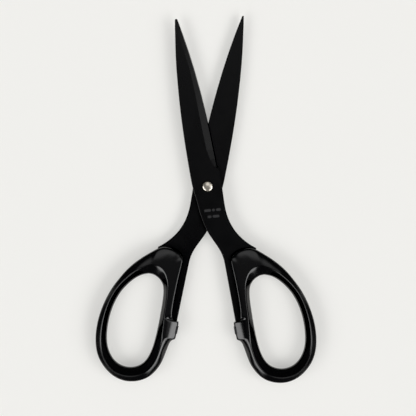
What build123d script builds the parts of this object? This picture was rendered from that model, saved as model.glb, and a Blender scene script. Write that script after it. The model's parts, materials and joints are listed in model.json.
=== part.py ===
from build123d import *
import os
from dataclasses import dataclass
from math import cos, radians, sin, sqrt

# Fabric shears lying flat and open: two steel blades with tangs, two moulded finger bows, a rivet
# with its burr and washer, and a buffer pad in each stop lump.
#
# The two halves are the same shape turned over, so each is laid out closed, in its own frame:
# u runs from the centre line towards the bow, v runs from the pivot towards the tip, and heights
# count outwards from the plane in which the two blades slide on each other.
# Sizes are in millimetres and angles in degrees.

# ---- the pair ----
opening = 22.2  # angle between the two halves as they lie
bow_thickness = 9.0
blade_thickness = 1.8
blade_gap = 0.1  # air between the inner faces of the blades

# ---- blades ----
front_reach = 90.7  # pivot to the tip of the upper blade
back_reach = 93.0  # the lower blade is a little longer
spine_width = 8.05  # widest distance from the centre line to the spine
spine_power = 2.4  # the larger, the longer the spine stays straight before it curves in
front_blunting = 2.3  # how far past the upper blade's tip its spine would come to a point
edge_width = 6.95
edge_power = 2.65
tip_spine_width = 0.45
tip_edge_width = 0.3
tip_rise = 0.35  # how far the rounded tip stands out past its two corners
blade_stations = 7  # points that each long blade curve passes through
spine_start = 8.0  # height of the spine's widest place
heel_start = 24.0  # height at which the cutting edge passes into the heel
shank_spine = [(-7.85, 0), (-7.3, -5.3), (-6.3, -15.4), (-3.8, -25.2), (0.4, -35)]
shank_heel = [(7.05, 14), (7.55, 5), (7.35, -6), (7.25, -15), (9.75, -25), (14.8, -32.6)]
steel_corner = (19.4, -36.8)  # outer corner of the shank, just outside the moulding
spine_round = 0.35  # rounding of the outer face along the spine

# ---- tang, the part of the steel that the bow is moulded on ----
tang_inner = 1.47  # from the centre line to the tang's inner edge, which stays bare
tang_outer = 8.0
tang_start = -42.0
tang_shoulder = [(18.2, -40.6), (14.4, -43.8), (9.6, -45.6)]
tang_neck = -50.0  # below this the tang has its even width
tang_end = -75.4
lock_holes = [(14.4, -40.4), (9.4, -41.6)]  # the moulding runs through these
lock_hole_diameter = 2.6

# ---- grinding ----
# distance from the centre line and height of the points where the bevel meets the flat: the line
# follows the blade's length, and the heel stays by the pivot
drawn_reach = 93.0  # the length of spine that the heights of the line and of the hollow are for
bevel_line = [(-3.0, 95.0), (-0.73, 82.6), (0.9, 72.0), (2.05, 62.0), (2.5, 50.0), (2.6, 38.0)]
bevel_heel = [(2.75, 28.0), (3.05, 19.0), (3.95, 13.9), (5.4, 9.8), (8.9, 4.5)]
bevel_overrun = 0.5
steepest_bevel = 0.29  # rise over run that the ground face keeps where it runs out at the heel
edge_land = 0.06  # thickness left at the very edge
honed_width = 0.4
honed_height = 0.55
# height, middle, width and depth of sections through the shallow hollow in the inner face
hollow = [(18, -0.5, 5.0, 0.02), (34, -0.6, 8.4, 0.11), (52, -0.7, 7.6, 0.12), (80, -0.6, 2.6, 0.03)]
hollow_overrun = 0.3

# ---- plain bars stamped in the upper shank ----
stamp_rows = [((0.3, -12.8), (3.6, 1.5, 2.6)), ((0.15, -16.2), (2.2, 3.6))]  # row middle, bar lengths
stamp_height = 1.4
stamp_space = 0.6
stamp_angle = -5.0
stamp_depth = 0.1

# ---- rivet, burr and washer ----
shank_diameter = 4.0
pivot_clearance = 0.05  # round the shank, in the upper blade and in the washer
head_diameter = 5.3
head_height = 1.25
head_rim = 0.3
head_play = 0.03  # under the head, so that the upper blade turns freely
tail_diameter = 5.4
tail_height = 1.1
tail_rim = 0.25
burr_diameter = 7.0
burr_thickness = 0.6
burr_chamfer = 0.15
washer_diameter = 10.0
washer_thickness = 0.3
washer_proud = 0.05
washer_fit = 0.1  # round the washer, in its recess

# ---- bows ----
bow_strip = [(4.4, -76.0), (5.1, -66.0), (5.3, -54.0), (5.1, -43.5), (6.1, -38.0)]  # beside the bare tang
bow_shoulder = [(9.0, -36.0), (13.0, -35.6), (17.0, -36.3)]
bow_outside = [(20.9, -38.8), (27.3, -45.0), (34.8, -55.0), (39.6, -65.0), (42.5, -78.0), (42.0, -91.0)]
bow_bottom = [(37.8, -101.0), (30.6, -107.6), (22.0, -110.1), (13.4, -108.0), (7.4, -102.0), (4.5, -95.0)]
hole_inside = [(19.8, -51.5), (13.2, -55.2), (11.2, -62.5), (10.65, -75.0), (11.3, -91.0), (15.6, -100.3)]
hole_outside = [(23.0, -102.9), (32.4, -98.6), (36.9, -87.0), (36.4, -72.0), (31.9, -60.3), (26.2, -53.6)]
ring_round = 2.2
hole_round = 2.0
scoop_radius = 8.2  # round relief for the finger in the hole's upper inner corner
scoop_centre = (20.5, -61.0)
scoop_tilt = 33.0
scoop_heading = 130.0  # the way the relief leans, from the u axis

# ---- stop lumps and their pads ----
stop_clearance = 0.05  # from each pad to the centre line, closed
pad_proud = 0.3
pad_sunk = 1.0
pad_length = 4.0
pad_height = 5.0
pad_middle = -78.0
pad_round = 0.25
lump_top = -73.4
lump_bottom = -83.0
lump_root = 5.4  # how far into the ring the lump reaches
lump_slope = 2.4  # how much longer the lump is at its root, below
lump_inset = 0.9  # how much lower the lump stands than the bow, on each face
lump_round = 0.6
lump_edge_round = 0.5

# ---- derived ----
half_opening = opening / 2
slide_height = bow_thickness / 2  # of the sliding plane above the table
inner_face = blade_gap / 2
outer_face = inner_face + blade_thickness
shank_radius = shank_diameter / 2
turning_radius = shank_radius + pivot_clearance
recess_depth = washer_thickness - washer_proud
lump_face = stop_clearance + pad_proud
pad_thickness = pad_proud + pad_sunk


@dataclass(frozen=True)
class Half:
    """One half of the shears: side 1 lies on top, and side -1 is turned over beneath it."""

    name: str
    side: int
    reach: float
    spine_reach: float  # height at which the spine would come to a point

    @property
    def stretch(self):
        """How much longer the blade is than it was drawn."""
        return self.spine_reach / drawn_reach

    @property
    def plane(self):
        """The sliding plane with this half's u and v, facing this half's outside."""
        x_dir = (self.side * cos(radians(half_opening)), sin(radians(half_opening)), 0)
        return Plane(origin=(0, 0, slide_height), x_dir=x_dir, z_dir=(0, 0, self.side))

    @property
    def outward(self):
        """Axis through the pivot towards this half's outside."""
        return Axis(self.plane.origin, self.plane.z_dir)

    def across(self, v):
        """Plane that cuts the blade at height v, with u to the right and the outside upwards."""
        origin = self.plane.from_local_coords(Vector(0, v, 0))
        return Plane(origin=origin, x_dir=self.plane.x_dir, z_dir=-self.plane.y_dir)

    def u_of(self, edge):
        """Distance from the centre line to the middle of an edge."""
        return self.plane.to_local_coords(edge @ 0.5).X


def taper(v, reach, root, tip, power):
    """Distance from the centre line to one side of the blade at height v."""
    return tip + (root - tip) * (1 - (v / reach) ** power)


def edge_u(half, v):
    """Distance from the centre line to the cutting edge at height v."""
    return taper(min(v, half.reach), half.reach, edge_width, tip_edge_width, edge_power)


def stations(start, end):
    """Heights from start to end, closer together towards the tip."""
    steps = [i / (blade_stations - 1) for i in range(blade_stations)]
    return [start + (end - start) * (1 - (1 - step) ** 1.5) for step in steps]


def bevel_cutter(half):
    """What the main grind and the honed edge take off the outer face of a blade."""
    line = [(u, v * half.stretch) for u, v in bevel_line]
    with BuildPart() as cutter:
        for u, v in line + bevel_heel:
            edge = max(edge_u(half, v), u + 2 * honed_width)
            honed = edge - honed_width
            slope = min((blade_thickness - honed_height) / (honed - u), steepest_bevel)
            shoulder = outer_face - slope * (honed - u)
            with BuildSketch(half.across(v)):
                Polygon(
                    (u - bevel_overrun / slope, outer_face + bevel_overrun),
                    (honed, shoulder),
                    (edge + honed_width, 2 * (inner_face + edge_land) - shoulder),
                    (edge + 2 * honed_width, outer_face + bevel_overrun),
                    align=None,
                )
        loft(ruled=True)
    return cutter.part


def hollow_cutter(half):
    """The shallow lens that is ground out of a blade's inner face."""
    with BuildPart() as cutter:
        for v, middle, width, depth in hollow:
            radius = (width**2 / 4 + depth**2) / (2 * depth)
            reach = width / 2 + hollow_overrun
            foot = inner_face + depth - radius + sqrt(radius**2 - reach**2)
            left, right = (middle - reach, foot), (middle + reach, foot)
            with BuildSketch(half.across(v * half.stretch)):
                with BuildLine():
                    ThreePointArc(left, (middle, inner_face + depth), right)
                    Line(right, left)
                make_face()
        loft()
    return cutter.part


def make_blade(half, bore_radius):
    """Blade, shank and tang in one piece of steel, ground on both faces, with its bore."""
    tip_corner = half.reach - tip_rise
    spine = [
        (-taper(v, half.spine_reach, spine_width, tip_spine_width, spine_power), v)
        for v in stations(spine_start, tip_corner)
    ]
    edge = [(edge_u(half, v), v) for v in stations(heel_start, tip_corner)]
    tip_middle = ((spine[-1][0] + edge[-1][0]) / 2, half.reach)
    tang_top = (tang_inner, tang_start)
    with BuildPart() as blade:
        with BuildSketch(half.plane.offset(inner_face)):
            with BuildLine():
                Spline(tang_top, *reversed(shank_spine), *spine, tangents=((0, 1), (0.19, 1)))
                ThreePointArc(spine[-1], tip_middle, edge[-1])
                Spline(*reversed(edge), *shank_heel, steel_corner)
                Spline(steel_corner, *tang_shoulder, (tang_outer, tang_neck), tangents=((-0.2, -1), (0, -1)))
                Polyline((tang_outer, tang_neck), (tang_outer, tang_end), (tang_inner, tang_end), tang_top)
            make_face()
            Circle(bore_radius, mode=Mode.SUBTRACT)
            with Locations(*lock_holes):
                Circle(lock_hole_diameter / 2, mode=Mode.SUBTRACT)
        extrude(amount=blade_thickness)
        add(bevel_cutter(half), mode=Mode.SUBTRACT)
        add(hollow_cutter(half), mode=Mode.SUBTRACT)
        outer_edges = blade.faces().sort_by(half.outward)[-1].edges()
        fillet(outer_edges.sort_by(half.u_of)[0], radius=spine_round)
    return blade


def stamp(half):
    """Rows of plain shallow bars in the middle of the upper shank."""
    with BuildPart() as bars:
        with BuildSketch(half.plane.offset(outer_face)):
            for centre, lengths in stamp_rows:
                left = -(sum(lengths) + stamp_space * (len(lengths) - 1)) / 2
                for length in lengths:
                    offset = Vector(left + length / 2, 0).rotate(Axis.Z, stamp_angle)
                    with Locations(Vector(*centre) + offset):
                        SlotOverall(length, stamp_height, rotation=stamp_angle)
                    left += length + stamp_space
        extrude(amount=-stamp_depth)
    return bars.part


def stop_lump(half):
    """Lump that meets the other bow's lump when the shears close, rounded towards it."""
    towards_stop = Axis(half.plane.origin, half.plane.x_dir)
    with BuildPart() as lump:
        with BuildSketch(half.plane):
            Polygon(
                (lump_root, lump_top),
                (lump_face, lump_top),
                (lump_face, lump_bottom),
                (lump_root, lump_bottom - lump_slope),
                align=None,
            )
        extrude(amount=bow_thickness / 2 - lump_inset, both=True)
        face = lump.faces().sort_by(towards_stop)[0]
        fillet(face.edges().filter_by(Axis.Z), radius=lump_round)
        face = lump.faces().sort_by(towards_stop)[0]
        fillet(face.edges().filter_by(Axis.Z, reverse=True), radius=lump_edge_round)
    return lump.part


def pad_blank(half):
    """The pad's rectangle, from the bottom of its pocket to its face."""
    with BuildPart() as blank:
        with BuildSketch(half.plane):
            with Locations((stop_clearance + pad_thickness / 2, pad_middle)):
                Rectangle(pad_thickness, pad_length)
        extrude(amount=pad_height / 2, both=True)
    return blank


def make_pad(half):
    """Elastic buffer pad, pressed into its pocket and proud of the stop lump."""
    blank = pad_blank(half)
    with BuildPart() as pad:
        add(blank.part)
        face = pad.faces().sort_by(Axis(half.plane.origin, half.plane.x_dir))[0]
        fillet(face.edges(), radius=pad_round)
    return pad


def make_bow(half, blade):
    """Finger bow moulded round the tang, with a stop lump on the side of the other bow."""
    lean = Vector(sin(radians(scoop_tilt)), 0).rotate(Axis.Z, scoop_heading)
    with BuildPart() as bow:
        with BuildSketch(half.plane):
            with BuildLine():
                Spline(*bow_strip, *bow_shoulder, *bow_outside, *bow_bottom, periodic=True)
            make_face()
            with BuildLine():
                Spline(*hole_inside, *hole_outside, periodic=True)
            make_face(mode=Mode.SUBTRACT)
        extrude(amount=bow_thickness / 2, both=True)
        for end in (0, -1):
            face = bow.faces().sort_by(half.outward)[end]
            fillet(face.inner_wires()[0].edges(), radius=hole_round)
            face = bow.faces().sort_by(half.outward)[end]
            fillet(face.outer_wire().edges(), radius=ring_round)
        add(stop_lump(half))
        for heading in (1, -1):
            drill = Vector(lean.X, lean.Y, heading * cos(radians(scoop_tilt)))
            axis_plane = half.plane * Plane(origin=(*scoop_centre, 0), z_dir=drill)
            with BuildSketch(axis_plane):
                Circle(scoop_radius)
            extrude(amount=bow_thickness, mode=Mode.SUBTRACT)
        add(blade.part, mode=Mode.SUBTRACT)
        add(pad_blank(half).part, mode=Mode.SUBTRACT)
    return bow


def cap_arc(radius, rim, top):
    """Arc of a domed cap in the plane of radius and height, from its rim to the middle of its top."""
    rise = top - rim
    cap_radius = (radius**2 + rise**2) / (2 * abs(rise))
    bulge = cap_radius - sqrt(cap_radius**2 - radius**2 / 4)
    middle = top - bulge if rise > 0 else top + bulge
    return (radius, rim), (radius / 2, middle), (0, top)


front = Half("front", 1, front_reach, front_reach + front_blunting)
back = Half("back", -1, back_reach, back_reach)
blades = {}
bows = {}
pads = {}
for half, bore_radius in ((front, turning_radius), (back, shank_radius)):
    blades[half.name] = make_blade(half, bore_radius)
    bows[half.name] = make_bow(half, blades[half.name])
    pads[half.name] = make_pad(half)

with BuildPart() as front_blade:
    add(blades["front"].part)
    add(stamp(front), mode=Mode.SUBTRACT)
front_blade.part.label = "front_blade"

with BuildPart() as back_blade:
    add(blades["back"].part)
    with BuildSketch(back.plane.offset(inner_face)):
        Circle(washer_diameter / 2 + washer_fit)
    extrude(amount=recess_depth, mode=Mode.SUBTRACT)
back_blade.part.label = "back_blade"

front_bow, back_bow = bows["front"], bows["back"]
front_bow.part.label = "front_bow"
back_bow.part.label = "back_bow"

front_stop_pad, back_stop_pad = pads["front"], pads["back"]
front_stop_pad.part.label = "front_stop_pad"
back_stop_pad.part.label = "back_stop_pad"

# The rivet stands on the pivot: its domed head bears on the upper blade, and its tail is upset
# over the burr beneath the lower blade.
head_seat = slide_height + outer_face + head_play
burr_top = slide_height - outer_face
tail_seat = burr_top - burr_thickness
with BuildPart() as pivot_rivet:
    with BuildSketch(Plane.XZ):
        with BuildLine():
            head = cap_arc(head_diameter / 2, head_seat + head_rim, head_seat + head_height)
            tail = cap_arc(tail_diameter / 2, tail_seat - tail_rim, tail_seat - tail_height)
            ThreePointArc(*head)
            Polyline(
                head[0],
                (head_diameter / 2, head_seat),
                (shank_radius, head_seat),
                (shank_radius, tail_seat),
                (tail_diameter / 2, tail_seat),
                tail[0],
            )
            ThreePointArc(*tail)
            Line(tail[-1], head[-1])
        make_face()
    revolve(axis=Axis.Z)
pivot_rivet.part.label = "pivot_rivet"

with BuildPart() as rivet_burr:
    with BuildSketch(Plane.XY.offset(tail_seat)):
        Circle(burr_diameter / 2)
        Circle(shank_radius, mode=Mode.SUBTRACT)
    extrude(amount=burr_thickness)
    bottom_edges = rivet_burr.faces().sort_by(Axis.Z)[0].edges()
    chamfer(bottom_edges.sort_by(SortBy.RADIUS)[-1], length=burr_chamfer)
rivet_burr.part.label = "rivet_burr"

with BuildPart() as blade_washer:
    with BuildSketch(Plane.XY.offset(slide_height - inner_face - recess_depth)):
        Circle(washer_diameter / 2)
        Circle(turning_radius, mode=Mode.SUBTRACT)
    extrude(amount=washer_thickness)
blade_washer.part.label = "blade_washer"

# The pieces are laid out about the pivot. They are stored with the origin on the table,
# under the middle of the box that the whole pair fills.
pieces = [
    front_blade, front_bow, front_stop_pad,
    back_blade, back_bow, back_stop_pad,
    pivot_rivet, rivet_burr, blade_washer,
]
whole = Compound([piece.part for piece in pieces]).bounding_box()
pivot_y = -whole.center().Y
os.makedirs("parts", exist_ok=True)
for piece in pieces:
    export_step(piece.part.moved(Location((0, pivot_y, 0))), f"parts/{piece.part.label}.step")

print(f"pivot at (0, {pivot_y:.4f}, {slide_height:.3f}), open {opening} degrees")
print(f"box {whole.size.X:.2f} x {whole.size.Y:.2f} x {whole.size.Z:.2f}, x centre {whole.center().X:.3f}")
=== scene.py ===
"""Fabric shears lying open on a pale table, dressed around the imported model.

The two halves are one shape turned over, so every piece of a half is modelled once, closed, in the
half's own frame: u runs from the centre line towards the finger bow, v from the pivot towards the
tip, and heights count outwards from the plane in which the blades slide. Sizes are in millimetres
and become metres where a mesh is placed.
"""

from __future__ import annotations

import json
import logging
import math
from dataclasses import dataclass
from enum import Enum
from typing import Any, Sequence

import bmesh
import bpy
from mathutils import Matrix, Vector
from mathutils.kdtree import KDTree

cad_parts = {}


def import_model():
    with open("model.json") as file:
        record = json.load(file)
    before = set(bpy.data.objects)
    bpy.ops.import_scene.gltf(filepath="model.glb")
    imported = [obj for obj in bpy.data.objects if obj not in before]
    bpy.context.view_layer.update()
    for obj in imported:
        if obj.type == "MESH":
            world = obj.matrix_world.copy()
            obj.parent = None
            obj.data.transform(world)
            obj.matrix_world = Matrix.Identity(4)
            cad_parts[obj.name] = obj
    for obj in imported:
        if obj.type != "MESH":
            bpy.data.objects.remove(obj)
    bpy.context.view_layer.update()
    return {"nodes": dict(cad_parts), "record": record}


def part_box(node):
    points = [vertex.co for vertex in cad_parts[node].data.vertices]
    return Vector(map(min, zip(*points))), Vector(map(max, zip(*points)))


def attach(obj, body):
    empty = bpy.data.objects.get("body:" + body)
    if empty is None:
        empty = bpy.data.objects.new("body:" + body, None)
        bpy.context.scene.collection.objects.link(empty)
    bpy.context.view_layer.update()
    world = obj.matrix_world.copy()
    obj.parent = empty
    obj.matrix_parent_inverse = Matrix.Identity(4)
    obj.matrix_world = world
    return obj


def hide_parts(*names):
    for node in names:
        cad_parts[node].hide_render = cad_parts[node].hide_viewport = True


MM = 0.001
LOG = logging.getLogger("fabric_shears")
Point = tuple[float, float]
Colour = tuple[float, float, float, float]


# ---------------------------------------------------------------- small helpers


def linear(colour: str) -> Colour:
    """Turn an sRGB hex colour into the linear colour that shaders take.

    Args:
        colour: six hex digits after a hash sign.

    Returns:
        Red, green, blue and an alpha of one.
    """
    channels = [int(colour[start : start + 2], 16) / 255 for start in (1, 3, 5)]
    red, green, blue = (c / 12.92 if c <= 0.04045 else ((c + 0.055) / 1.055) ** 2.4 for c in channels)
    return red, green, blue, 1.0


def add_node(
    tree: bpy.types.NodeTree, kind: str, settings: dict[str, Any] | None = None, **inputs: Any
) -> bpy.types.ShaderNode:
    """Add a shader node, set it and link it.

    Args:
        tree: node tree that takes the node.
        kind: the node's type name, without its ShaderNode prefix.
        settings: properties of the node itself.
        **inputs: values or source sockets, each under its socket's name with underscores for spaces,
            or under the socket's number after an underscore.

    Returns:
        The new node.
    """
    node = tree.nodes.new("ShaderNode" + kind)
    for name, value in (settings or {}).items():
        setattr(node, name, value)
    for name, value in inputs.items():
        key = int(name[1:]) if name[0] == "_" else name.replace("_", " ")
        if isinstance(value, bpy.types.NodeSocket):
            tree.links.new(value, node.inputs[key])
        else:
            node.inputs[key].default_value = value
    return node


def deselect() -> None:
    """Leave object mode's selection empty."""
    bpy.ops.object.select_all(action="DESELECT")


def activate(piece: bpy.types.Object) -> None:
    """Select one object alone and make it the active one."""
    deselect()
    piece.select_set(True)
    bpy.context.view_layer.objects.active = piece


def apply_modifier(piece: bpy.types.Object, kind: str, **settings: Any) -> None:
    """Add a modifier to a piece and apply it.

    Args:
        piece: object that takes the modifier.
        kind: the modifier's type.
        **settings: properties of the modifier.
    """
    activate(piece)
    modifier = piece.modifiers.new(kind.lower(), kind)
    for name, value in settings.items():
        setattr(modifier, name, value)
    bpy.ops.object.modifier_apply(modifier=modifier.name)


def smooth(piece: bpy.types.Object, angle: float) -> None:
    """Shade a piece smooth across edges that turn less than an angle in degrees."""
    activate(piece)
    bpy.ops.object.shade_smooth_by_angle(angle=math.radians(angle))


def copy_piece(piece: bpy.types.Object, name: str) -> bpy.types.Object:
    """Copy a piece together with its mesh.

    Args:
        piece: object to copy.
        name: name of the copy and of its mesh.

    Returns:
        The copy.
    """
    twin = piece.copy()
    twin.data = piece.data.copy()
    twin.name = name
    twin.data.name = name
    bpy.context.scene.collection.objects.link(twin)
    return twin


def settle(piece: bpy.types.Object, placement: Matrix) -> None:
    """Move a piece and leave the place in its mesh, with its object at the origin.

    Args:
        piece: object that stands in a half's own frame.
        placement: matrix from that frame to the table.
    """
    activate(piece)
    piece.matrix_world = placement
    bpy.ops.object.transform_apply(location=True, rotation=True, scale=True)


# ---------------------------------------------------------------- where the halves lie


class Side(Enum):
    """Which half a piece belongs to: the upper one, or the one turned over beneath it."""

    FRONT = "front"
    BACK = "back"


@dataclass(frozen=True)
class Stance:
    """How the open shears lie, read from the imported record."""

    pivot: Vector  # on the rivet's axis, in the plane in which the blades slide, in metres
    half_opening: float  # from the centre line between the halves to either one, in radians

    @classmethod
    def of_record(cls, record: dict[str, Any]) -> Stance:
        """Read the pivot and half the resting angle from the record's joint.

        Args:
            record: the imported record, whose one joint has the shut shears at its lower limit.

        Returns:
            The stance.
        """
        joint = record["behaviour"]["joints"][0]
        closing = min(joint["range_deg"])
        return cls(Vector(joint["pos_m"]), math.radians(-closing / 2))

    def placement(self, side: Side) -> Matrix:
        """Find where a half lies.

        Args:
            side: which half.

        Returns:
            Matrix from the half's own frame, in metres, to its place on the table.
        """
        if side is Side.FRONT:
            return Matrix.Translation(self.pivot) @ Matrix.Rotation(self.half_opening, 4, "Z")
        turned_over = Matrix.Rotation(-self.half_opening, 4, "Z") @ Matrix.Rotation(math.pi, 4, "Y")
        return Matrix.Translation(self.pivot) @ turned_over


# ---------------------------------------------------------------- finishes


# the values between which most of a noise texture lies
NOISE_LOW, NOISE_HIGH = 0.3, 0.7


@dataclass(frozen=True)
class CoatedSteel:
    """Stainless steel with a sprayed and baked black fluororesin coat, matt with a faint grain.

    The resin's low index and its fine spray grain give a soft, nearly black sheen with no clear reflection.
    """

    name: str = "matt_fluororesin_on_steel"
    colour: str = "#070708"
    mark_colour: str = "#363637"
    roughness: float = 0.29
    ior: float = 1.37
    smoother: float = 0.03  # how far the roughness drifts down
    rougher: float = 0.04  # and up
    grain_mm: float = 0.35  # the coat's spray grain, drawn a little coarser than it is
    grain_height_mm: float = 0.02
    grain_strength: float = 0.12
    cloud_mm: float = 14.0  # slow drift in how thick the coat was sprayed

    def build(self) -> bpy.types.Material:
        """Make the material and return it."""
        material = new_material(self.name)
        tree, shader = material.node_tree, principled(material)
        place = add_node(tree, "TexCoord").outputs["Object"]
        grain = add_node(tree, "TexNoise", Vector=place, Scale=1 / (self.grain_mm * MM), Detail=2.0)
        cloud = add_node(tree, "TexNoise", Vector=place, Scale=1 / (self.cloud_mm * MM), Detail=3.0)
        spread = add_node(
            tree, "MapRange", Value=cloud.outputs[0], From_Min=NOISE_LOW, From_Max=NOISE_HIGH,
            To_Min=self.roughness - self.smoother, To_Max=self.roughness + self.rougher,
        )
        bump = add_node(
            tree, "Bump", Height=grain.outputs[0], Strength=self.grain_strength,
            Distance=self.grain_height_mm * MM,
        )
        set_inputs(shader, Base_Color=linear(self.colour), IOR=self.ior)
        tree.links.new(spread.outputs[0], shader.inputs["Roughness"])
        tree.links.new(bump.outputs[0], shader.inputs["Normal"])
        return material

    def build_marked(self, centre: Vector, radius: float, low: float, high: float) -> bpy.types.Material:
        """Make the material with the coat worn grey in the floors of the stamped bars.

        Args:
            centre: middle of the stamped rows, in metres.
            radius: distance from it within which the bars lie.
            low: height that the bars' floors lie above.
            high: height that they lie under.

        Returns:
            The material.
        """
        material = self.build()
        material.name = self.name + "_with_stamped_bars"
        tree, shader = material.node_tree, principled(material)
        place = add_node(tree, "TexCoord").outputs["Object"]
        height = add_node(tree, "SeparateXYZ", Vector=place).outputs["Z"]
        away = add_node(tree, "VectorMath", {"operation": "DISTANCE"}, _0=place, _1=centre).outputs["Value"]
        near = add_node(tree, "Math", {"operation": "LESS_THAN"}, _0=away, _1=radius).outputs[0]
        over = add_node(tree, "Math", {"operation": "GREATER_THAN"}, _0=height, _1=low).outputs[0]
        under = add_node(tree, "Math", {"operation": "LESS_THAN"}, _0=height, _1=high).outputs[0]
        within = add_node(tree, "Math", {"operation": "MULTIPLY"}, _0=over, _1=under).outputs[0]
        mask = add_node(tree, "Math", {"operation": "MULTIPLY"}, _0=near, _1=within).outputs[0]
        colour = add_node(
            tree, "Mix", {"data_type": "RGBA"}, _0=mask, _6=linear(self.colour), _7=linear(self.mark_colour)
        ).outputs[2]
        tree.links.new(colour, shader.inputs["Base Color"])
        return material


@dataclass(frozen=True)
class GlossyAbs:
    """Black ABS from a polished mould.

    The mould's polish gives crisp highlights along the ridges, and its slight waviness bends them a little.
    """

    name: str = "glossy_black_abs"
    colour: str = "#050506"
    roughness: float = 0.13
    ior: float = 1.53
    smoother: float = 0.02  # how far the roughness drifts down
    rougher: float = 0.05  # and up
    wave_mm: float = 5.0  # waviness of the moulded skin
    wave_height_mm: float = 0.1
    wave_strength: float = 0.1
    haze_mm: float = 0.5  # fine handling haze
    haze_low: float = 0.35  # the noise below which there is none
    haze_high: float = 0.75  # and above which it is full

    def build(self) -> bpy.types.Material:
        """Make the material and return it."""
        material = new_material(self.name)
        tree, shader = material.node_tree, principled(material)
        place = add_node(tree, "TexCoord").outputs["Object"]
        wave = add_node(tree, "TexNoise", Vector=place, Scale=1 / (self.wave_mm * MM), Detail=1.0)
        haze = add_node(tree, "TexNoise", Vector=place, Scale=1 / (self.haze_mm * MM), Detail=3.0)
        spread = add_node(
            tree, "MapRange", Value=haze.outputs[0], From_Min=self.haze_low, From_Max=self.haze_high,
            To_Min=self.roughness - self.smoother, To_Max=self.roughness + self.rougher,
        )
        bump = add_node(
            tree, "Bump", Height=wave.outputs[0], Strength=self.wave_strength,
            Distance=self.wave_height_mm * MM,
        )
        set_inputs(shader, Base_Color=linear(self.colour), IOR=self.ior)
        tree.links.new(spread.outputs[0], shader.inputs["Roughness"])
        tree.links.new(bump.outputs[0], shader.inputs["Normal"])
        return material


@dataclass(frozen=True)
class NickelPlate:
    """Bright nickel on cold-headed steel, slightly warm, with the faint swirl that a tumbler leaves."""

    name: str = "bright_nickel_plate"
    colour: str = "#d8d1c5"
    roughness: float = 0.2
    smoother: float = 0.03  # how far the roughness drifts down
    rougher: float = 0.06  # and up
    swirl_mm: float = 0.5

    def build(self) -> bpy.types.Material:
        """Make the material and return it."""
        material = new_material(self.name)
        tree, shader = material.node_tree, principled(material)
        place = add_node(tree, "TexCoord").outputs["Object"]
        swirl = add_node(tree, "TexNoise", Vector=place, Scale=1 / (self.swirl_mm * MM), Detail=2.0)
        spread = add_node(
            tree, "MapRange", Value=swirl.outputs[0], From_Min=NOISE_LOW, From_Max=NOISE_HIGH,
            To_Min=self.roughness - self.smoother, To_Max=self.roughness + self.rougher,
        )
        set_inputs(shader, Base_Color=linear(self.colour), Metallic=1.0)
        tree.links.new(spread.outputs[0], shader.inputs["Roughness"])
        return material


@dataclass(frozen=True)
class MouldedResin:
    """A dull moulded resin or elastomer, even in colour with a fine matt texture."""

    name: str
    colour: str
    roughness: float
    grain_mm: float = 0.25
    grain_height_mm: float = 0.03
    grain_strength: float = 0.2

    def build(self) -> bpy.types.Material:
        """Make the material and return it."""
        material = new_material(self.name)
        tree, shader = material.node_tree, principled(material)
        place = add_node(tree, "TexCoord").outputs["Object"]
        grain = add_node(tree, "TexNoise", Vector=place, Scale=1 / (self.grain_mm * MM), Detail=2.0)
        bump = add_node(
            tree, "Bump", Height=grain.outputs[0], Strength=self.grain_strength,
            Distance=self.grain_height_mm * MM,
        )
        set_inputs(shader, Base_Color=linear(self.colour), Roughness=self.roughness)
        tree.links.new(bump.outputs[0], shader.inputs["Normal"])
        return material


@dataclass(frozen=True)
class TablePaper:
    """Smooth pale paper that the shears lie on, quite matt."""

    name: str = "pale_table_paper"
    colour: str = "#bdbcb9"
    glow_colour: str = "#fdfdfa"
    glow: float = 0.4  # light that comes through from below, which keeps the shadows pale
    roughness: float = 0.9
    sheen: float = 0.1  # the share of an ordinary surface's reflection that is left

    def build(self) -> bpy.types.Material:
        """Make the material and return it."""
        material = new_material(self.name)
        set_inputs(
            principled(material), Base_Color=linear(self.colour), Roughness=self.roughness,
            Specular_IOR_Level=self.sheen, Emission_Color=linear(self.glow_colour),
            Emission_Strength=self.glow,
        )
        return material


def new_material(name: str) -> bpy.types.Material:
    """Make a node material with an output and a principled shader.

    Args:
        name: name of the material.

    Returns:
        The material.
    """
    material = bpy.data.materials.new(name)
    material.use_nodes = True
    return material


def principled(material: bpy.types.Material) -> bpy.types.ShaderNode:
    """The material's principled shader."""
    return next(node for node in material.node_tree.nodes if node.type == "BSDF_PRINCIPLED")


def set_inputs(node: bpy.types.ShaderNode, **values: Any) -> None:
    """Set a node's own sockets, with underscores for the spaces of their names."""
    for name, value in values.items():
        node.inputs[name.replace("_", " ")].default_value = value


def dress(piece: bpy.types.Object, material: bpy.types.Material) -> None:
    """Give a piece one material in place of what it has."""
    piece.data.materials.clear()
    piece.data.materials.append(material)


# ---------------------------------------------------------------- the finger bows


@dataclass(frozen=True)
class Profile:
    """How the moulding falls from its ridge to its outer edge.

    Widths are in millimetres, and heights are shares of the moulding's half thickness.
    """

    roll_in: float  # from the outer edge to where the top starts to roll over
    roll_height: float  # height there
    wall: float  # height below which the wall stands upright
    bulge: float = 0.0  # how far the top rises over a straight fall, halfway from ridge to roll
    ridge_round: float = 0.14  # how far the ridge's rounding reaches out


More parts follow.
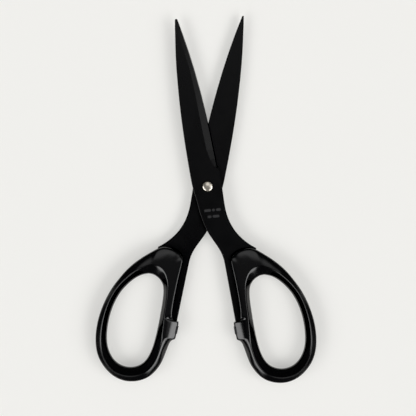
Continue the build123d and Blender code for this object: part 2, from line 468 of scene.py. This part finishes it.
class Zone(Enum):
    """The stretches round a bow whose outside is moulded alike."""

    RING = Profile(roll_in=0.36, roll_height=0.66, wall=0.5)
    SHOULDER_SIDE = Profile(roll_in=0.6, roll_height=0.72, wall=0.5, bulge=0.05)
    SHOULDER_TURN = Profile(roll_in=1.0, roll_height=0.79, wall=0.5, bulge=0.05)
    SHOULDER_FRONT = Profile(roll_in=1.4, roll_height=0.86, wall=0.5, bulge=0.04)
    STRIP = Profile(roll_in=0.22, roll_height=0.9, wall=0.78, bulge=0.01)
    LUMP = Profile(roll_in=1.6, roll_height=0.62, wall=0.36, bulge=0.08)
    NECK = Profile(roll_in=1.1, roll_height=0.6, wall=0.2, bulge=0.06)
    NECK_END = Profile(roll_in=0.7, roll_height=0.64, wall=0.38, bulge=0.03)


@dataclass(frozen=True)
class Station:
    """A cut through the moulding, from a point of the finger hole to one of the outer edge."""

    hole: Point
    rim: Point
    scoop: float  # width of the slope from the ridge down to the hole
    zone: Zone


def stations_of(zone: Zone, *cuts: tuple[float, float, float, float, float]) -> list[Station]:
    """Stations of a zone, each from the hole's u and v, the outer edge's u and v, and the scoop's width."""
    return [Station((cut[0], cut[1]), (cut[2], cut[3]), cut[4], zone) for cut in cuts]


BOW_STATIONS: list[Station] = [
    *stations_of(
        Zone.SHOULDER_SIDE,
        (21.8, -51.9, 21.2, -39.2, 5.3),
        (24.5, -53.0, 25.6, -43.1, 4.4),
        (27.1, -54.9, 29.7, -47.4, 3.8),
    ),
    *stations_of(
        Zone.RING,
        (29.8, -57.8, 33.2, -52.1, 3.4),
        (32.1, -61.1, 36.1, -57.3, 3.2),
        (34.3, -65.2, 38.9, -63.1, 3.1),
        (36.1, -71.1, 41.1, -70.2, 3.05),
        (37.0, -77.5, 42.4, -77.5, 3.05),
        (37.0, -84.0, 42.7, -84.5, 3.15),
        (36.1, -90.4, 41.8, -92.1, 3.3),
        (34.2, -95.4, 39.4, -98.9, 3.7),
        (31.2, -99.4, 35.4, -104.1, 4.1),
        (27.4, -101.9, 29.6, -108.3, 4.5),
        (23.0, -102.7, 22.6, -110.1, 4.8),
        (18.9, -101.9, 15.6, -108.8, 4.8),
        (15.5, -99.8, 10.4, -105.7, 4.7),
    ),
    *stations_of(
        Zone.NECK_END,
        (13.3, -96.8, 7.2, -101.6, 4.6),
        (12.0, -93.0, 5.1, -97.0, 4.6),
    ),
    *stations_of(
        Zone.NECK,
        (11.3, -89.0, 4.1, -92.0, 4.4),
        (11.05, -86.0, 3.3, -87.2, 4.2),
        (10.95, -84.2, 2.6, -84.7, 4.0),
    ),
    *stations_of(
        Zone.LUMP,
        (10.9, -83.3, 1.4, -83.5, 3.8),
        (10.85, -82.5, 0.5, -82.9, 3.6),
        (10.85, -81.2, 0.35, -81.4, 3.4),
        (10.8, -77.5, 0.35, -77.9, 3.0),
        (10.85, -75.2, 0.35, -74.8, 2.8),
        (10.85, -74.2, 0.55, -73.7, 2.7),
        (10.85, -73.4, 1.5, -73.35, 2.65),
        (10.9, -72.5, 3.2, -73.1, 2.6),
    ),
    *stations_of(
        Zone.STRIP,
        (10.95, -71.0, 4.4, -71.7, 2.5),
        (11.0, -68.5, 5.0, -68.6, 2.4),
        (11.2, -64.0, 5.3, -62.5, 2.4),
        (11.7, -59.5, 5.35, -56.0, 2.6),
        (12.6, -56.4, 5.3, -50.0, 3.2),
        (13.7, -54.8, 5.1, -44.5, 3.9),
        (15.0, -53.5, 5.15, -40.6, 4.6),
    ),
    *stations_of(
        Zone.SHOULDER_FRONT,
        (16.1, -52.8, 5.9, -38.4, 5.1),
        (17.1, -52.3, 7.7, -36.9, 5.5),
        (18.2, -51.9, 10.3, -36.0, 5.7),
        (19.3, -51.7, 13.4, -35.65, 5.8),
    ),
    *stations_of(
        Zone.SHOULDER_TURN,
        (20.2, -51.7, 16.6, -36.1, 5.7),
        (21.0, -51.7, 19.3, -37.6, 5.5),
    ),
]
# places on the slope from the hole up to the ridge, as shares of its width, with their heights
SCOOP_CURVE: list[Point] = [
    (0.0, 0.0), (0.02, 0.2), (0.12, 0.37), (0.36, 0.56), (0.62, 0.77), (0.86, 0.95),
]
# places on the fall from the ridge to the roll, as shares of the way back up from the roll
FALL_PLACES = (0.7, 0.35)
# no more of the fall than this is taken by the ridge's rounding
ROUNDING_LIMIT = 0.3
# the middle of the roll, as a share of its width from the outer edge
ROLL_MIDDLE = 0.3
HOLE_RADIUS = 10 * MM  # of the circle that the finger hole is shaped from
MERGE_DISTANCE = 0.001 * MM


def through(points: Sequence[Vector], steps: int) -> list[Vector]:
    """Closed Catmull-Rom curve through points.

    Args:
        points: the points, in order round the curve.
        steps: how many points each span gives.

    Returns:
        Points along the curve, the given ones among them.
    """
    curve = []
    count = len(points)
    for index in range(count):
        before, start, end, after = (points[(index + shift) % count] for shift in (-1, 0, 1, 2))
        for step in range(steps):
            t = step / steps
            curve.append(
                0.5 * (2 * start + (end - before) * t + (2 * before - 5 * start + 4 * end - after) * t**2
                       + (3 * start - 3 * end + after - before) * t**3)
            )
    return curve


@dataclass(frozen=True)
class FingerBow:
    """The two moulded bows: a ring round the finger hole with a shoulder on the tang and a stop lump."""

    stance: Stance
    thickness: float  # in millimetres
    span_steps: int = 2  # points along the ring for each station
    smooth_levels: int = 2
    crease: float = 60.0  # edges that turn more than this many degrees stay sharp

    def rows(self, station: Station) -> list[Vector]:
        """Find the points of one cut, from the hole's edge over the ridge to the outer edge.

        Args:
            station: where the cut lies and how the moulding falls there.

        Returns:
            The points in millimetres, from the middle of the thickness up and down to it again.
        """
        profile = station.zone.value
        hole, rim = Vector((*station.hole, 0)), Vector((*station.rim, 0))
        width = (rim - hole).length
        outwards = (rim - hole) / width
        ridge_in = width - station.scoop
        top = ridge_in - profile.roll_in
        fall = 1 - profile.roll_height
        turn = profile.roll_height - profile.wall
        rounding = min(profile.ridge_round, ROUNDING_LIMIT * top)
        across = [(width - share * station.scoop, height) for share, height in SCOOP_CURVE]
        across += [(ridge_in, 1.0), (ridge_in - rounding, 1 - fall * (rounding / top))]
        for share in FALL_PLACES:
            swell = 4 * share * (1 - share) * profile.bulge
            across.append((profile.roll_in + share * top, 1 - (1 - share) * fall + swell))
        across += [
            (profile.roll_in, profile.roll_height),
            (ROLL_MIDDLE * profile.roll_in, profile.roll_height - turn / 2),
            (0.0, profile.wall),
            (0.0, profile.wall / 2),
            (0.0, 0.0),
        ]
        half_thickness = self.thickness / 2
        return [rim - outwards * inset + Vector((0, 0, share * half_thickness)) for inset, share in across]

    def model(self) -> bpy.types.Object:
        """Grow the ring's skin row by row from a circle, mirror it and smooth it.

        Returns:
            One bow in its half's own frame, in metres.
        """
        cuts = [self.rows(station) for station in BOW_STATIONS]
        loops = [through([cut[row] * MM for cut in cuts], self.span_steps) for row in range(len(cuts[0]))]
        piece = grown_from_circle("finger_bow", loops)
        apply_modifier(
            piece, "MIRROR", use_axis=(False, False, True), use_clip=True, use_mirror_merge=True,
            merge_threshold=MERGE_DISTANCE,
        )
        face_outwards(piece)
        apply_modifier(piece, "SUBSURF", levels=self.smooth_levels, render_levels=self.smooth_levels)
        smooth(piece, self.crease)
        return piece

    def build(self, material: bpy.types.Material) -> None:
        """Model one bow, copy it, and put both on their halves.

        Args:
            material: finish of the moulding.
        """
        pattern = self.model()
        for side in Side:
            piece = copy_piece(pattern, f"{side.value}_bow_moulding")
            settle(piece, self.stance.placement(side))
            dress(piece, material)
            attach(piece, f"{side.value}_half")
            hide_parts(f"{side.value}_bow")
        bpy.data.objects.remove(pattern)


def grown_from_circle(name: str, loops: Sequence[Sequence[Vector]]) -> bpy.types.Object:
    """Grow a skin from a circle by extruding its edge loop from one closed loop of points to the next.

    Args:
        name: name of the piece.
        loops: the closed loops in order, each with the same number of points, in metres.

    Returns:
        The skin, open at its first and last loop.
    """
    deselect()
    bpy.ops.mesh.primitive_circle_add(vertices=len(loops[0]), radius=HOLE_RADIUS)
    piece = bpy.context.active_object
    piece.name = name
    bpy.ops.object.mode_set(mode="EDIT")
    bpy.ops.mesh.select_all(action="SELECT")
    mesh = bmesh.from_edit_mesh(piece.data)
    before = [vert.co.copy() for vert in mesh.verts]
    move_selected(piece, before, loops[0])
    for start, end in zip(loops, loops[1:]):
        bpy.ops.mesh.extrude_region()
        move_selected(piece, start, end)
    bpy.ops.object.mode_set(mode="OBJECT")
    return piece


def move_selected(piece: bpy.types.Object, before: Sequence[Vector], after: Sequence[Vector]) -> None:
    """In edit mode, move each selected point of a piece.

    Args:
        piece: the piece being edited.
        before: where the selected points are.
        after: where each of them goes, in the same order.
    """
    places = KDTree(len(before))
    for index, place in enumerate(before):
        places.insert(place, index)
    places.balance()
    mesh = bmesh.from_edit_mesh(piece.data)
    for vert in mesh.verts:
        if vert.select:
            vert.co = after[places.find(vert.co)[1]]
    bmesh.update_edit_mesh(piece.data)


def face_outwards(piece: bpy.types.Object) -> None:
    """Turn all faces of a piece outwards.

    Args:
        piece: a closed piece.
    """
    activate(piece)
    bpy.ops.object.mode_set(mode="EDIT")
    bpy.ops.mesh.select_all(action="SELECT")
    bpy.ops.mesh.normals_make_consistent(inside=False)
    bpy.ops.object.mode_set(mode="OBJECT")


# ---------------------------------------------------------------- rivet and pads

FLAT_ENOUGH = 0.9  # a face whose normal rises more than this lies flat


@dataclass(frozen=True)
class PivotRivet:
    """Domed rivet through both blades, headed on the upper one and upset over a burr beneath.

    Widths and gaps are in millimetres. Heights come from the pieces that the rivet holds.
    """

    head_diameter: float = 5.3
    head_play: float = 0.03  # between the head and the upper blade
    shank_diameter: float = 4.0
    dome_rings: int = 9
    sides: int = 96
    rim_share: float = 0.56  # part of each cap's height that stands straight
    rim_bevel: float = 0.3  # rounding of each cap's rim
    rim_bevel_limit: float = 0.45  # and its largest share of the straight part
    rim_segments: int = 5
    rim_angle: float = 50.0  # edges that turn more than this many degrees are rounded
    crease: float = 40.0  # edges that turn more than this many degrees stay sharp

    def cap(self, name: str, centre: Vector, radius: float, base: float, top: float) -> bpy.types.Object:
        """Model a domed cap from a short cylinder, by insets that rise along the dome.

        Args:
            name: name of the piece.
            centre: point on the rivet's axis, in metres.
            radius: the cap's radius, in metres.
            base: height at which the cap starts, in metres.
            top: height of the dome's middle, above or below the base, in metres.

        Returns:
            The cap.
        """
        rise = top - base
        rim = rise * self.rim_share
        dome = abs(rise - rim)
        curve = (radius**2 + dome**2) / (2 * dome)
        deselect()
        bpy.ops.mesh.primitive_cylinder_add(
            vertices=self.sides, radius=radius, depth=abs(rim),
            location=(centre.x, centre.y, base + rim / 2),
        )
        piece = bpy.context.active_object
        piece.name = name
        bpy.ops.object.transform_apply(location=True, rotation=True, scale=True)
        bpy.ops.object.mode_set(mode="EDIT")
        mesh = bmesh.from_edit_mesh(piece.data)
        outer = math.copysign(1, rise)
        for face in mesh.faces:
            face.select_set(face.normal.z * outer > FLAT_ENOUGH)
        bmesh.update_edit_mesh(piece.data)
        steps = range(self.dome_rings + 1)
        angles = [math.asin(radius / curve) * (1 - ring / self.dome_rings) for ring in steps]
        for wide, narrow in zip(angles, angles[1:-1]):
            bpy.ops.mesh.inset(thickness=curve * (math.sin(wide) - math.sin(narrow)), depth=0)
            lift = outer * curve * (math.cos(narrow) - math.cos(wide))
            bpy.ops.transform.translate(value=(0, 0, lift))
        bpy.ops.object.mode_set(mode="OBJECT")
        apply_modifier(
            piece, "BEVEL", width=min(self.rim_bevel * MM, self.rim_bevel_limit * abs(rim)),
            segments=self.rim_segments, limit_method="ANGLE", angle_limit=math.radians(self.rim_angle),
        )
        smooth(piece, self.crease)
        return piece

    def build(self, material: bpy.types.Material) -> None:
        """Model the head, the shank and the tail as one piece that stands for the rivet.

        Args:
            material: the rivet's plating.
        """
        low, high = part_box("pivot_rivet")
        centre = (low + high) / 2
        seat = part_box("front_blade")[1].z
        tail_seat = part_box("rivet_burr")[0].z
        head_radius = self.head_diameter * MM / 2
        tail_radius = (high.x - low.x) / 2
        head = self.cap("pivot_rivet_body", centre, head_radius, seat + self.head_play * MM, high.z)
        tail = self.cap("tail", centre, tail_radius, tail_seat, low.z)
        deselect()
        bpy.ops.mesh.primitive_cylinder_add(
            vertices=self.sides, radius=self.shank_diameter * MM / 2, depth=seat - tail_seat,
            location=(centre.x, centre.y, (seat + tail_seat) / 2),
        )
        shank = bpy.context.active_object
        bpy.ops.object.transform_apply(location=True, rotation=True, scale=True)
        deselect()
        for part in (head, tail, shank):
            part.select_set(True)
        bpy.context.view_layer.objects.active = head
        bpy.ops.object.join()
        dress(head, material)
        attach(head, "back_half")
        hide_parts("pivot_rivet")


@dataclass(frozen=True)
class StopPad:
    """The elastic buffer pads, one pressed in each bow's stop lump. Sizes are in millimetres."""

    stance: Stance
    face: float = 0.05  # from the centre line to the pad's face
    depth: float = 1.3
    length: float = 4.0
    height: float = 5.0
    middle: float = -78.0  # v of its middle
    bevel: float = 0.28
    bevel_segments: int = 4
    crease: float = 40.0  # edges that turn more than this many degrees stay sharp

    def build(self, material: bpy.types.Material) -> None:
        """Model a pad from a cube, copy it, and put both in their lumps.

        Args:
            material: finish of the pads.
        """
        deselect()
        bpy.ops.mesh.primitive_cube_add(size=1)
        pattern = bpy.context.active_object
        pattern.scale = Vector((self.depth, self.length, self.height)) * MM
        pattern.location = Vector((self.face + self.depth / 2, self.middle, 0)) * MM
        bpy.ops.object.transform_apply(location=True, rotation=True, scale=True)
        apply_modifier(
            pattern, "BEVEL", width=self.bevel * MM, segments=self.bevel_segments, limit_method="ANGLE"
        )
        smooth(pattern, self.crease)
        for side in Side:
            piece = copy_piece(pattern, f"{side.value}_buffer_pad")
            settle(piece, self.stance.placement(side))
            dress(piece, material)
            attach(piece, f"{side.value}_half")
            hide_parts(f"{side.value}_stop_pad")
        bpy.data.objects.remove(pattern)


# ---------------------------------------------------------------- table, lights and camera


@dataclass(frozen=True)
class Glow:
    """A soft patch of the room that shines on the table, by where its middle lies."""

    azimuth: float  # degrees from +X towards +Y
    zenith: float  # degrees down from straight above
    core: float  # degrees from the middle within which it is even
    reach: float  # degrees from the middle at which it has died away
    strength: float

    @property
    def heading(self) -> Vector:
        """Unit vector towards the middle."""
        azimuth, zenith = math.radians(self.azimuth), math.radians(self.zenith)
        along = Vector((math.cos(azimuth), math.sin(azimuth), 0)) * math.sin(zenith)
        return along + Vector((0, 0, math.cos(zenith)))


@dataclass(frozen=True)
class Studio:
    """Pale table, a room with a pair of soft lamps at each side, and the camera straight above."""

    pivot: Vector
    view_offset: Point = (0.33, -11.4)  # middle of the view from the pivot, in millimetres
    view_width: float = 221.7  # millimetres across the view at the blades' height
    roll: float = 0.6  # degrees
    camera_height: float = 0.62  # metres above the table
    clip: Point = (0.01, 20.0)  # nearest and furthest that the camera sees, in metres
    sensor: float = 36.0  # millimetres
    table_size: float = 6.0  # metres
    dim: float = 0.19  # light from the rest of the room
    black: float = 0.0085  # light up to which a surface still shows as black
    backdrop: str = "#eceae7"
    glows: tuple[Glow, ...] = (
        Glow(194, 53, 8, 18, 4.2),
        Glow(228, 51, 8, 19, 3.8),
        Glow(346, 53, 8, 19, 5.0),
        Glow(312, 51, 8, 19, 3.8),
        Glow(90, 2, 8, 24, 0.1),
        Glow(90, 24, 9, 20, 0.8),
        Glow(12, 32, 7, 20, 1.0),
    )

    def lay_table(self, material: bpy.types.Material) -> None:
        """Lay the table top under the shears.

        Args:
            material: what covers the table.
        """
        deselect()
        bpy.ops.mesh.primitive_plane_add(size=self.table_size)
        table = bpy.context.active_object
        table.name = "table_top"
        dress(table, material)

    def light_room(self) -> None:
        """Make the room: dim all round, with its glows, and a plain backdrop where it is seen."""
        world = bpy.data.worlds.new("room")
        bpy.context.scene.world = world
        world.use_nodes = True
        tree = world.node_tree
        tree.nodes.clear()
        direction = add_node(tree, "TexCoord").outputs["Generated"]
        light: float | bpy.types.NodeSocket = self.dim
        for glow in self.glows:
            facing = add_node(
                tree, "VectorMath", {"operation": "DOT_PRODUCT"}, _0=direction, _1=glow.heading
            )
            shine = add_node(
                tree, "MapRange", {"interpolation_type": "SMOOTHSTEP"}, Value=facing.outputs["Value"],
                From_Min=math.cos(math.radians(glow.reach)), From_Max=math.cos(math.radians(glow.core)),
                To_Min=0.0, To_Max=glow.strength,
            )
            light = add_node(
                tree, "Math", {"operation": "ADD"}, _0=light, _1=shine.outputs[0]
            ).outputs[0]
        seen = add_node(tree, "LightPath").outputs["Is Camera Ray"]
        colour = add_node(
            tree, "Mix", {"data_type": "RGBA"}, _0=seen, _6=light, _7=linear(self.backdrop)
        ).outputs[2]
        background = add_node(tree, "Background", Color=colour, Strength=1.0)
        add_node(tree, "OutputWorld", Surface=background.outputs[0])

    def place_camera(self) -> None:
        """Put the camera above the shears, with its frame as wide as the view."""
        data = bpy.data.cameras.new("camera")
        data.sensor_width = self.sensor
        depth = self.camera_height - self.pivot.z
        data.lens = self.sensor * depth / (self.view_width * MM)
        data.clip_start, data.clip_end = self.clip
        camera = bpy.data.objects.new("camera", data)
        offset = Vector((*self.view_offset, 0)) * MM
        camera.location = Vector((self.pivot.x, self.pivot.y, self.camera_height)) + offset
        camera.rotation_euler = (0, 0, math.radians(self.roll))
        bpy.context.scene.collection.objects.link(camera)
        bpy.context.scene.camera = camera

    def build(self, material: bpy.types.Material) -> None:
        """Set the table, the room, the camera and how the view is shown.

        Args:
            material: what covers the table.
        """
        self.lay_table(material)
        self.light_room()
        self.place_camera()
        view = bpy.context.scene.view_settings
        view.view_transform = "Standard"
        view.use_curve_mapping = True
        view.curve_mapping.black_level = (self.black,) * 3
        view.curve_mapping.update()


# ---------------------------------------------------------------- blades, burr and washer


@dataclass(frozen=True)
class Blades:
    """The steel blades with the burr and the washer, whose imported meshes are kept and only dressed."""

    stance: Stance
    stamp_middle: Point = (0.2, -14.5)  # of the stamped bars, in the upper half's own frame, in millimetres
    stamp_reach: float = 5.6  # from there to the furthest bar's end, with some room
    stamp_depth: float = 0.1

    def marked_coat(self, coat: CoatedSteel) -> bpy.types.Material:
        """Make the upper blade's coat, worn grey in the stamped bars.

        Args:
            coat: the coat on both blades.

        Returns:
            The material.
        """
        middle = self.stance.placement(Side.FRONT) @ (Vector((*self.stamp_middle, 0)) * MM)
        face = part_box("front_blade")[1].z
        middle.z = face
        depth = self.stamp_depth * MM
        return coat.build_marked(middle, self.stamp_reach * MM, face - 2 * depth, face - depth / 2)

    def build(self, nodes: dict[str, bpy.types.Object], coat: CoatedSteel) -> None:
        """Dress the blades, the burr and the washer.

        Args:
            nodes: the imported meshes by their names.
            coat: the coat on both blades.
        """
        dress(nodes["front_blade"], self.marked_coat(coat))
        dress(nodes["back_blade"], coat.build())
        dress(nodes["rivet_burr"], NickelPlate(name="dull_nickel_plate", roughness=0.3).build())
        dress(nodes["blade_washer"], MouldedResin("natural_acetal", "#d8d3c6", 0.45).build())


# ---------------------------------------------------------------- the whole pair


def main() -> None:
    """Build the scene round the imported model."""
    logging.basicConfig(level=logging.INFO, format="%(name)s: %(message)s")
    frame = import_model()
    stance = Stance.of_record(frame["record"])
    low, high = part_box("front_bow")
    Studio(stance.pivot).build(TablePaper().build())
    FingerBow(stance, thickness=(high.z - low.z) / MM).build(GlossyAbs().build())
    LOG.info("modelled the finger bows")
    StopPad(stance).build(MouldedResin("buffer_elastomer", "#161618", 0.55).build())
    LOG.info("modelled the buffer pads")
    PivotRivet().build(NickelPlate().build())
    LOG.info("modelled the rivet")
    Blades(stance).build(frame["nodes"], CoatedSteel())
    LOG.info("dressed the blades, the burr and the washer")


if __name__ == "__main__":
    main()
